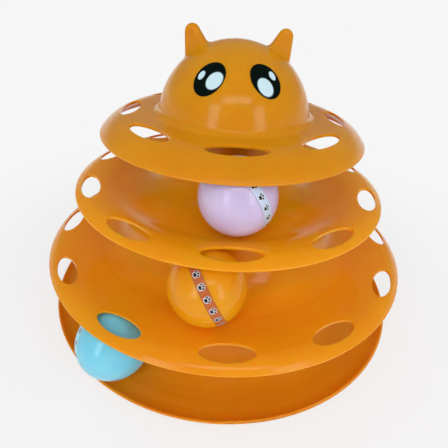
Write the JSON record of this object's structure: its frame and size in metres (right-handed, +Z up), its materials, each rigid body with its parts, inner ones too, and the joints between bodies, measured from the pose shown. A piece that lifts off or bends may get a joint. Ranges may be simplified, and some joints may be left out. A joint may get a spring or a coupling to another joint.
{
  "type": "cat ball track toy",
  "caption": "Round tower of stacked ball tracks for a cat, with oval sight holes in its brims, a ball held in each track and a domed animal's head with ears on top.",
  "frame": {"origin": "on the table under the tower's axis, in the plane of the foot pads' undersides", "axes": "+Z up along the tower's axis; -Y is the front, where the face looks; +X is the viewer's right"},
  "size_m": [0.25, 0.25, 0.1841],
  "materials": {
    "tower_plastic": "glossy moulded orange plastic",
    "eye_print": "glossy printed label",
    "foot_rubber": "soft matt foam rubber",
    "blue_ball_plastic": "satin moulded plastic",
    "orange_ball_plastic": "satin moulded plastic",
    "pink_ball_plastic": "satin moulded plastic",
    "blue_ball_label": "band of printed film",
    "orange_ball_label": "band of printed film",
    "pink_ball_label": "band of printed film"
  },
  "bodies": {
    "base": {"base_dish": "tower_plastic", "foot_pad_1": "foot_rubber", "foot_pad_2": "foot_rubber", "foot_pad_3": "foot_rubber", "foot_pad_4": "foot_rubber", "foot_pad_5": "foot_rubber", "foot_pad_6": "foot_rubber"},
    "lower": {"lower_tier": "tower_plastic"},
    "upper": {"upper_tier": "tower_plastic"},
    "head": {"top_tier": "tower_plastic", "left_eye_label": "eye_print", "right_eye_label": "eye_print"},
    "blue_ball": {"blue_ball_half_a": "blue_ball_plastic", "blue_ball_half_b": "blue_ball_plastic", "blue_ball_band": "blue_ball_label"},
    "orange_ball": {"orange_ball_half_a": "orange_ball_plastic", "orange_ball_half_b": "orange_ball_plastic", "orange_ball_band": "orange_ball_label"},
    "pink_ball": {"pink_ball_half_a": "pink_ball_plastic", "pink_ball_half_b": "pink_ball_plastic", "pink_ball_band": "pink_ball_label"}
  },
  "joints": [
    {"name": "lower_tier_twist", "type": "hinge", "parent": "base", "child": "lower", "pos_m": [0, 0, 0.0454], "axis": [0, 0, 1], "range_deg": [0, 25]},
    {"name": "upper_tier_twist", "type": "hinge", "parent": "lower", "child": "upper", "pos_m": [0, 0, 0.0856], "axis": [0, 0, 1], "range_deg": [0, 25]},
    {"name": "top_tier_twist", "type": "hinge", "parent": "upper", "child": "head", "pos_m": [0, 0, 0.133], "axis": [0, 0, 1], "range_deg": [0, 25]},
    {"name": "blue_ball_run", "type": "hinge", "parent": "base", "child": "blue_ball", "pos_m": [0, 0, 0.0263], "axis": [0, 0, 1], "continuous": true},
    {"name": "orange_ball_run", "type": "hinge", "parent": "lower", "child": "orange_ball", "pos_m": [0, 0, 0.0701], "axis": [0, 0, 1], "continuous": true},
    {"name": "pink_ball_run", "type": "hinge", "parent": "upper", "child": "pink_ball", "pos_m": [0, 0, 0.1103], "axis": [0, 0, 1], "continuous": true}
  ]
}
